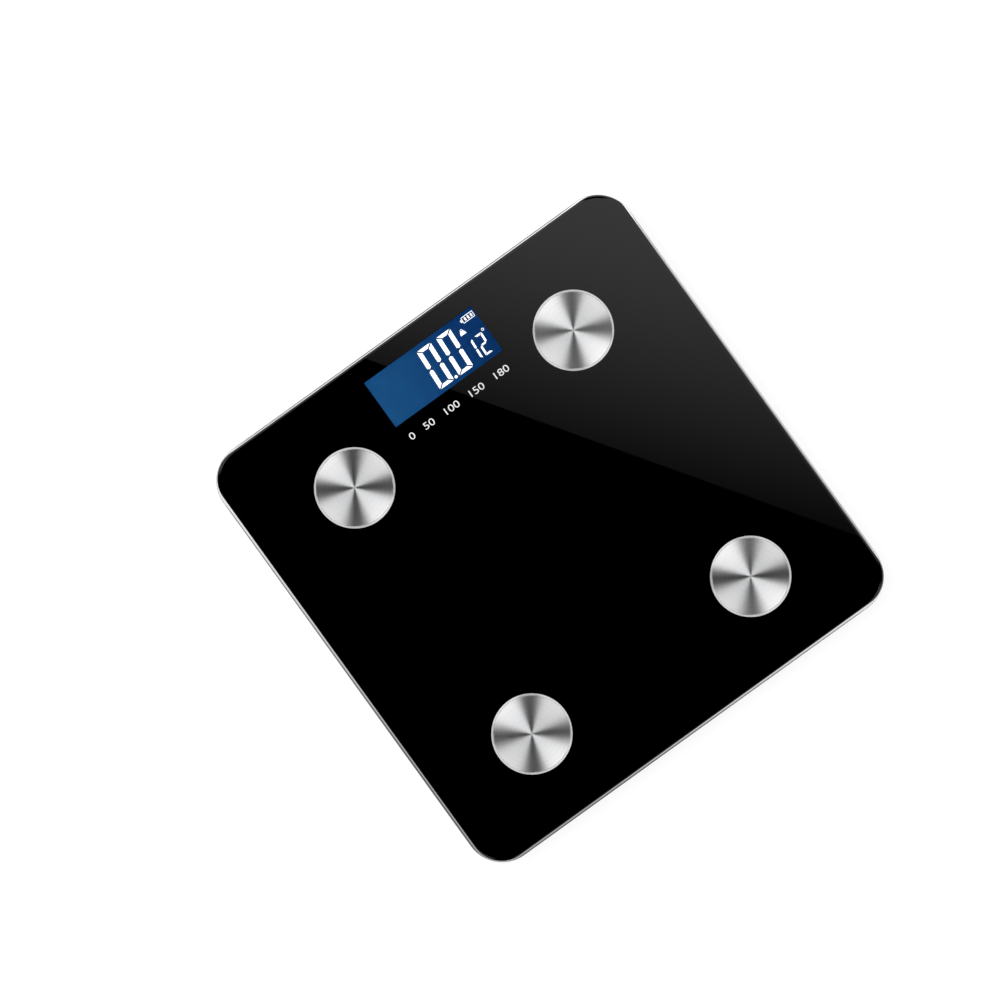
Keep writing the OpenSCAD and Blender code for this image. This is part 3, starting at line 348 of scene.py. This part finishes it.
def circuit_board():
    """Green solder mask over copper tracks."""
    made, n = material("board_green")
    bricks = n.add("TexVoronoi", Vector=n.vector(), Scale=1 / (4 * MM))
    bricks.distance = "MANHATTAN"
    bricks.feature = "DISTANCE_TO_EDGE"
    track = n.step(bricks.outputs["Distance"], 0.03, 0.06)
    colour = n.mix(track, rgb(46, 126, 74), rgb(20, 84, 44))
    principled(n, colour, 0.32, Normal=n.bump(track, -0.03 * MM))
    return made


def battery_wrap():
    """Plain printed sleeve: gold towards the positive end, black on the rest, bare steel ends."""
    made, n = material("battery_wrap")
    x, y, z = n.xyz()
    speckle = n.noise(n.vector(), 0.3 * MM)
    # the two cells lie either side of the X axis, and point opposite ways
    along = n.math("MULTIPLY", x, n.math("SIGN", y))
    gold = n.step(along, 9.9 * MM, 10.1 * MM)
    sleeve = n.mix(gold, rgb(26, 26, 28), rgb(186, 144, 62))
    bare = n.step(along, 20.9 * MM, 21.0 * MM)
    principled(n, n.mix(bare, sleeve, rgb(200, 201, 203)), n.step(speckle, 0.3, 0.7, 0.24, 0.34),
               Metallic=n.math("MAXIMUM", bare, n.math("MULTIPLY", gold, 0.6)))
    return made


def contact_strip():
    """Rubber strip with fine black conducting layers."""
    made, n = material("contact_rubber")
    wave = n.math("SINE", n.math("MULTIPLY", n.xyz()[0], 2 * math.pi / (0.6 * MM)))
    principled(n, n.mix(n.step(wave, -0.2, 0.2), rgb(217, 143, 154), rgb(40, 34, 36)), 0.6)
    return made


def pad_rubber():
    """Dark grey rubber with a little dust, and a fine stipple whose pits carry painted shade."""
    made, n = material("pad_rubber")
    vector = n.vector()
    pores = n.cells(vector, 0.7 * MM)
    dust = n.noise(vector, 5 * MM)
    worn = n.mix(n.step(dust, 0.35, 0.7), rgb(58, 59, 61), rgb(78, 79, 81))
    # painted shade: the pits of the stipple are darker
    colour = n.mix(n.step(pores, 0.0, 0.35), rgb(44, 44, 46), worn)
    principled(n, colour, n.step(dust, 0.3, 0.7, 0.72, 0.86), Normal=n.bump(pores, 0.05 * MM))
    return made


def foam(name, colour):
    made, n = material(name)
    pores = n.cells(n.vector(), 0.35 * MM)
    # painted shade: the pits of the pores, where the bump is lowest, are painted darker
    mottled = n.mix(n.step(pores, 0.0, 0.4), darker(colour, 0.5), colour)
    principled(n, mottled, 0.9, Normal=n.bump(pores, 0.06 * MM))
    return made


def brushed(name, colour, rough, spread=0.07):
    """Rolled or plated metal with a faint grain along X."""
    made, n = material(name)
    stretched = n.add("Mapping", Vector=n.vector(), Scale=(0.05, 1.0, 1.0)).outputs[0]
    grain = n.noise(stretched, 0.12 * MM, 3.0)
    streaked = n.mix(n.step(grain, 0.3, 0.7), darker(colour, 0.86), colour)
    gloss = n.step(grain, 0.3, 0.7, rough - spread, rough + spread)
    principled(n, streaked, gloss, Metallic=1.0, Normal=n.bump(grain, 0.004 * MM))
    return made


def lamp_phosphor():
    made, n = material("led_phosphor")
    soft = n.noise(n.vector(), 0.5 * MM)
    colour = n.mix(n.step(soft, 0.3, 0.7), rgb(244, 226, 130), rgb(250, 238, 170))
    principled(n, colour, 0.4, Emission_Color=rgb(190, 214, 255), Emission_Strength=1.0)
    return made


# The finish of each material slot but spun_steel
FINISHES = {
    "clear_glass": clear_glass,
    "black_print": black_print,
    "foam_tape": lambda: foam("foam_tape", rgb(30, 30, 32)),
    "adhesive": lambda: plain("adhesive", rgb(196, 196, 192), 0.35, Transmission_Weight=0.4),
    "nylon": lambda: plain("nylon", rgb(232, 230, 222), 0.42, Subsurface_Weight=0.1),
    "nut_zinc": lambda: brushed("nut_zinc", rgb(196, 198, 201), 0.34),
    "contact_brass": lambda: brushed("contact_brass", rgb(208, 174, 106), 0.3),
    "tray_abs": lambda: plain("tray_abs", rgb(52, 53, 57), 0.52, 0.35 * MM, 0.1, 0.035 * MM),
    "display_blue": display_glass,
    "gasket_foam": lambda: foam("gasket_foam", rgb(24, 25, 27)),
    "white_plastic": lambda: plain("white_plastic", rgb(236, 236, 230), 0.45),
    "contact_rubber": contact_strip,
    "clear_acrylic": lambda: plain("clear_acrylic", rgb(232, 240, 246), 0.08, spread=0.03,
                                   Transmission_Weight=0.9, IOR=1.49),
    "led_phosphor": lamp_phosphor,
    "board_green": circuit_board,
    "component_dark": lambda: plain("component_dark", rgb(58, 60, 64), 0.4, 0.2 * MM),
    "epoxy_black": lambda: plain("epoxy_black", rgb(17, 18, 20), 0.14, 2 * MM, spread=0.04),
    "screw_zinc": lambda: brushed("screw_zinc", rgb(184, 186, 190), 0.3),
    "button_abs": lambda: plain("button_abs", rgb(62, 65, 69), 0.38, 0.25 * MM),
    "silicone_white": lambda: plain("silicone_white", rgb(240, 240, 234), 0.5, 0.8 * MM,
                                    Subsurface_Weight=0.15),
    "cell_steel": lambda: brushed("cell_steel", rgb(168, 173, 179), 0.36),
    "foot_abs": lambda: plain("foot_abs", rgb(40, 41, 44), 0.5, 0.3 * MM, 0.1, 0.03 * MM),
    "pad_rubber": pad_rubber,
    "battery_wrap": battery_wrap,
    "contact_nickel": lambda: brushed("contact_nickel", rgb(208, 208, 205), 0.22),
    "lead_blue": lambda: plain("lead_blue", rgb(44, 108, 178), 0.36),
    "lead_red": lambda: plain("lead_red", rgb(186, 48, 42), 0.36),
    "lead_black": lambda: plain("lead_black", rgb(34, 36, 40), 0.36),
}


def dress_nodes():
    """Gives every CAD node its finish; each steel disc has one that is turned about its own centre."""
    made = {}
    for part in frame["record"]["subparts"]:
        node, slot = part["node"], part["material_slot"]
        if slot == "spun_steel":
            finish = spun_steel("spun_steel_" + node, *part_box(node))
        else:
            if slot not in made:
                made[slot] = FINISHES[slot]()
            finish = made[slot]
        for place in NODES[node].material_slots:
            place.material = finish


# ---------------------------------------------------------------- display and printed numbers

# Segments of a seven-segment digit that are lit, in the order top, upper right, lower right,
# bottom, lower left, upper left, middle
LIT = {"0": "abcdef", "1": "bc", "2": "abged"}

# Sizes of the display's digits in millimetres: upright and level are the widths of the strokes,
# and gap is the dark line between segments
LARGE = {"width": 8.9, "height": 23.1, "upright": 2.35, "level": 1.85, "gap": 0.65}
SMALL = {"width": 4.6, "height": 11.6, "upright": 1.15, "level": 1.0, "gap": 0.35}
LEAN = math.radians(3.15)

# The display's marks lie this far above its glass, and are this thick
MARK_LIFT = 0.02 * MM
MARK_THICK = 0.03 * MM

# The printed numbers, with their size, the width of the row and its place along Y
NUMBERS = "0   50   100   150   180"
NUMBERS_SIZE = 5.4 * MM
NUMBERS_WIDTH = 63 * MM
NUMBERS_Y = 79.1 * MM
# Half the ink's thickness, and the height of its middle above the glass
INK_HALF = 0.02 * MM
INK_LIFT = 0.025 * MM


def prism(name, outlines, z, height, finish):
    """Thin solid over flat outlines, each a loop of (x, y) points that goes anticlockwise."""
    mesh = bpy.data.meshes.new(name)
    bm = bmesh.new()
    for outline in outlines:
        low = [bm.verts.new((x, y, z)) for x, y in outline]
        high = [bm.verts.new((x, y, z + height)) for x, y in outline]
        bm.faces.new(list(reversed(low)))
        bm.faces.new(high)
        for i, corner in enumerate(low):
            j = (i + 1) % len(low)
            bm.faces.new((corner, low[j], high[j], high[i]))
    bmesh.ops.recalc_face_normals(bm, faces=bm.faces)
    bm.to_mesh(mesh)
    bm.free()
    mesh.materials.append(finish)
    piece = bpy.data.objects.new(name, mesh)
    bpy.context.scene.collection.objects.link(piece)
    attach(piece, "scale_body")


def disc(x, y, r, sides=24):
    return [(x + r * math.cos(2 * math.pi * i / sides), y + r * math.sin(2 * math.pi * i / sides))
            for i in range(sides)]


def ring(x, y, r, line, sides=16):
    """Pieces of a ring of that middle radius and width of line."""
    outer = disc(x, y, r + line / 2, sides)
    inner = disc(x, y, r - line / 2, sides)
    return [[inner[i], outer[i], outer[(i + 1) % sides], inner[(i + 1) % sides]] for i in range(sides)]


def box_outline(x0, y0, x1, y1):
    return [(x0, y0), (x1, y0), (x1, y1), (x0, y1)]


def frame_outline(x0, y0, x1, y1, line):
    """Four bars of a box drawn in line."""
    low, high = y0 + line, y1 - line
    return [box_outline(x0, y0, x1, low), box_outline(x0, high, x1, y1),
            box_outline(x0, low, x0 + line, high), box_outline(x1 - line, low, x1, high)]


def segment_digit(digit, left, bottom, width, height, upright, level, gap):
    """Outlines of a digit's lit segments, mitred at the corners and pointed at the waist."""
    half = height / 2
    w, u, v = width, upright, level
    mitre = math.atan2(v, u)
    along = gap / 2 / math.sin(mitre)
    down = gap / 2 / math.cos(mitre)
    point = half + gap * 0.6
    shoulder = point + u * 0.3
    upper = [(0, shoulder), (u / 2, point), (u, shoulder), (u, height - v - down), (0, height - down)]
    top = [(along, height), (u + along, height - v), (w - u - along, height - v), (w - along, height)]
    bar = [(u * 0.6, half), (u + gap, half - v / 2), (w - u - gap, half - v / 2),
           (w - u * 0.6, half), (w - u - gap, half + v / 2), (u + gap, half + v / 2)]
    shapes = {
        "a": top,
        "b": [(w - x, y) for x, y in upper],
        "c": [(w - x, height - y) for x, y in upper],
        "d": [(x, height - y) for x, y in top],
        "e": [(x, height - y) for x, y in upper],
        "f": upper,
        "g": bar,
    }
    slope = math.tan(LEAN)
    return [[(left + x + (y - height) * slope, bottom + y) for x, y in shapes[s]] for s in LIT[digit]]


def digits():
    """Two large zeros with a point, and a small figure, in millimetres."""
    outlines = []
    for left in (-2.8, 9.55):
        outlines += segment_digit("0", left, 91.9, **LARGE)
    for digit, left in (("1", 19.9), ("2", 26.2)):
        outlines += segment_digit(digit, left, 92.4, **SMALL)
    outlines.append(disc(6.5, 92.6, 0.85))
    return outlines


def symbols():
    """Battery, weight and degree symbols, in millimetres."""
    # battery: case, nub and three bars
    outlines = frame_outline(26.0, 112.6, 33.2, 116.0, 0.35)
    outlines.append(box_outline(25.0, 113.6, 26.0, 115.0))
    outlines += [box_outline(x, 113.4, x + 1.0, 115.2) for x in (27.4, 29.3, 31.2)]
    # weight: a block with a ring on it
    outlines.append([(20.8, 108.1), (24.4, 108.1), (23.7, 110.0), (21.5, 110.0)])
    outlines += ring(22.6, 110.5, 0.6, 0.3)
    # degree ring of the small figure
    outlines += ring(32.1, 104.6, 0.6, 0.35)
    return outlines


def display_content():
    scaled = [[(x * MM, y * MM) for x, y in outline] for outline in digits() + symbols()]
    prism("display_segments", scaled, SCREEN_TOP + MARK_LIFT, MARK_THICK, lit_white())


def text_mesh():
    """Mesh of the plain numbers, as the text object makes it."""
    words = bpy.data.curves.new("dial_numbers", "FONT")
    words.body = NUMBERS
    words.size = NUMBERS_SIZE
    words.align_x = "CENTER"
    words.extrude = INK_HALF
    made = bpy.data.objects.new("dial_numbers", words)
    bpy.context.scene.collection.objects.link(made)
    bpy.context.view_layer.update()
    mesh = bpy.data.meshes.new_from_object(made.evaluated_get(bpy.context.evaluated_depsgraph_get()))
    bpy.data.objects.remove(made)
    return mesh


def printed_numbers():
    """Plain numbers of a dial, printed on the glass below the display."""
    mesh = text_mesh()
    low = min(v.co.x for v in mesh.vertices)
    high = max(v.co.x for v in mesh.vertices)
    stretch = NUMBERS_WIDTH / (high - low)
    for v in mesh.vertices:
        v.co.x = (v.co.x - (low + high) / 2) * stretch
        v.co.y += NUMBERS_Y
        v.co.z += GLASS_TOP + INK_LIFT
    mesh.materials.clear()
    mesh.materials.append(ink_white())
    mesh.name = "printed_numbers"
    piece = bpy.data.objects.new("printed_numbers", mesh)
    bpy.context.scene.collection.objects.link(piece)
    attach(piece, "scale_body")


# ---------------------------------------------------------------- studio and camera

# The floor's ramp through the glass, the soft box's curve and the lobes of the world are fitted to
# the photograph's view

# The plate is turned in the frame, and the camera looks straight down beside its centre
TURN = math.radians(-35.77)
AIM = (-13.04 * MM, 30.88 * MM)
CAMERA_HEIGHT = 2.6
FIELD = 514.2 * MM

FLOOR_HALF = 5
# Level of the floor where it is seen or mirrored, and the colour that its shadow falls on
FLOOR_SEEN = 0.86
FLOOR_PAINT = (0.26, 0.26, 0.26, 1)
# Level of the floor seen through the glass, from the front left to the rear right: a painted shadow
THROUGH_REACH = 130 * MM
THROUGH_LEVELS = (0.50, 1.64)

CARD_HALF = 0.16
CARD_HEIGHT = 1.3
# The share of light that the glass mirrors
MIRRORED = 0.04
# The direction across the card's straight edge, and where that edge starts and ends along it
CARD_TOWARD = (0.825, 0.565)
CARD_EDGE = (50.2 * MM, 50.9 * MM)

# Light from the sides: the direction of its strong lobes, the edges of all lobes, and the levels
# of the weaker and the stronger ones
LOBES_TURN = math.radians(139)
LOBE_EDGE = (0.36, 0.76)
LOBE_LEVELS = (2.3, 2.95)
# Heights, as the sine of the elevation: dark overhead, plainer towards the sides, bright horizon
OVERHEAD = (0.915, 0.985)
SLANT = (0.55, 0.78)
SLANT_SHARE = 0.33
HORIZON = (0.10, 0.20)
# Level of the world for matt surfaces
AROUND = 0.62

LAMP_PLACE = (-0.4, 0.5, 1.9)
LAMP_SIZE = 1.2
LAMP_POWER = 18


def camera():
    data = bpy.data.cameras.new("camera")
    data.sensor_width = 36
    data.lens = data.sensor_width * (CAMERA_HEIGHT - GLASS_TOP) / FIELD
    data.clip_end = 20
    made = bpy.data.objects.new("camera", data)
    made.location = (*AIM, CAMERA_HEIGHT)
    made.rotation_euler = (0, 0, TURN)
    bpy.context.scene.collection.objects.link(made)
    bpy.context.scene.camera = made


def square(name, half, finish):
    mesh = bpy.data.meshes.new(name)
    corners = [(-half, -half, 0), (half, -half, 0), (half, half, 0), (-half, half, 0)]
    mesh.from_pydata(corners, [], [(0, 1, 2, 3)])
    mesh.materials.append(finish)
    made = bpy.data.objects.new(name, mesh)
    bpy.context.scene.collection.objects.link(made)
    return made


def floor_level(n, refracted):
    """Glow of the floor: white where seen or mirrored, and a ramp of painted shadow through the glass."""
    path = n.add("LightPath")
    mirrored = n.math("SUBTRACT", path.outputs["Is Glossy Ray"], refracted, clamp=True)
    seen = n.math("MAXIMUM", path.outputs["Is Camera Ray"], mirrored)
    x, y, z = n.xyz()
    # painted shadow: through the glass the floor dims towards the front left
    through = n.ramp(n.weighed(x, y, REAR_RIGHT), -THROUGH_REACH, THROUGH_REACH, *THROUGH_LEVELS)
    return n.math("MAXIMUM", n.math("MULTIPLY", seen, FLOOR_SEEN), n.math("MULTIPLY", refracted, through))


def floor():
    """White floor that keeps a soft shadow. Through the glass it is dimmer towards the front left."""
    made, n = material("floor")
    refracted = n.add("LightPath").outputs["Is Transmission Ray"]
    paint = n.add("BsdfDiffuse", Color=n.mix(refracted, FLOOR_PAINT, (0.0, 0.0, 0.0, 1)))
    glow = n.add("Emission", Strength=floor_level(n, refracted))
    both = n.add("AddShader")
    n.set(both, 0, paint.outputs[0])
    n.set(both, 1, glow.outputs[0])
    # seen from below, the floor is clear, so that the underside can be looked at
    faced = n.add("MixShader")
    n.set(faced, 0, n.add("NewGeometry").outputs["Backfacing"])
    n.set(faced, 1, both.outputs[0])
    n.set(faced, 2, n.add("BsdfTransparent").outputs[0])
    n.out(faced.outputs[0])
    square("floor", FLOOR_HALF, made)


def mirrored_level(n, x, y):
    """Linear level of the light that the glass mirrors, from a curve of sRGB values over x and y."""
    # x and y in decimetres
    u = n.math("MULTIPLY", x, 10.0)
    v = n.math("MULTIPLY", y, 10.0)
    terms = ((54.8, u, 1.0), (44.4, v, 1.0), (-11.3, u, u), (-16.7, u, v), (-7.0, v, v))
    value = -13.8
    for weight, a, b in terms:
        value = n.math("ADD", value, n.math("MULTIPLY", weight, n.math("MULTIPLY", a, b)))
    value = n.math("MAXIMUM", value, 0.0)
    # the sRGB curve, without its straight part near black
    return n.math("POWER", n.math("DIVIDE", n.math("ADD", value, 14.0), 269.0), 2.4)


def soft_box():
    """Overhead soft box that the glass mirrors: a long straight edge, fading towards the front.

    Its own coordinates are those of the glass that mirrors it, scaled up by its height."""
    made, n = material("soft_box")
    x, y, z = n.xyz()
    inside = n.step(n.weighed(x, y, CARD_TOWARD), *CARD_EDGE)
    lit = n.product(inside, beside_window(n, x, y))
    strength = n.math("MULTIPLY", n.math("DIVIDE", mirrored_level(n, x, y), MIRRORED), lit)
    n.out(n.add("Emission", Strength=strength).outputs[0])
    card = square("soft_box", CARD_HALF, made)
    reach = CARD_HEIGHT / (CAMERA_HEIGHT - GLASS_TOP)
    card.scale = (1 + reach, 1 + reach, 1)
    card.location = (-AIM[0] * reach, -AIM[1] * reach, GLASS_TOP + CARD_HEIGHT)
    card.visible_camera = False
    card.visible_diffuse = False
    card.visible_shadow = False
    card.visible_transmission = False


def side_lobes(n):
    """Two strong and two weaker sides, dark straight overhead, with a bright horizon all round."""
    split = n.add("SeparateXYZ", Vector=n.add("TexCoord").outputs["Generated"])
    x, y, z = split.outputs
    turn = n.math("SUBTRACT", n.math("ARCTAN2", y, x), LOBES_TURN + TURN)
    wave = n.math("COSINE", n.math("MULTIPLY", turn, 2.0))
    side = n.step(n.math("ABSOLUTE", wave), *LOBE_EDGE)
    strong = n.step(wave, -0.1, 0.1, *LOBE_LEVELS)
    up = n.step(z, *OVERHEAD, 1.0, 0.0)
    low = n.step(z, *SLANT, SLANT_SHARE, 1.0)
    return n.math("MAXIMUM", n.product(side, strong, up, low), n.step(z, *HORIZON, 1.0, 0.0))


def studio():
    """White backdrop, with soft light from all round that is brighter where metal and glass mirror it."""
    world = bpy.data.worlds.new("studio")
    bpy.context.scene.world = world
    n = Nodes(world)
    path = n.add("LightPath")
    mirrored = n.math("MAXIMUM", path.outputs["Is Glossy Ray"], path.outputs["Is Transmission Ray"])
    around = n.add("Background", Strength=n.ramp(mirrored, 0.0, 1.0, AROUND, side_lobes(n)))
    backdrop = n.add("Background", Color=(1, 1, 1, 1), Strength=1.0)
    both = n.add("MixShader")
    n.set(both, 0, path.outputs["Is Camera Ray"])
    n.set(both, 1, around.outputs[0])
    n.set(both, 2, backdrop.outputs[0])
    n.out(both.outputs[0], "OutputWorld")


def lamp():
    """Soft lamp that lights matt surfaces and isn't mirrored."""
    data = bpy.data.lights.new("overhead", "AREA")
    data.shape = "DISK"
    data.size = LAMP_SIZE
    data.energy = LAMP_POWER
    made = bpy.data.objects.new("overhead", data)
    made.location = LAMP_PLACE
    made.rotation_euler = (-made.location).to_track_quat("-Z", "Y").to_euler()
    made.visible_glossy = False
    made.visible_transmission = False
    bpy.context.scene.collection.objects.link(made)


# ---------------------------------------------------------------- the scene

bpy.context.scene.view_settings.view_transform = "Standard"
camera()
studio()
floor()
soft_box()
lamp()
dress_nodes()
display_content()
printed_numbers()
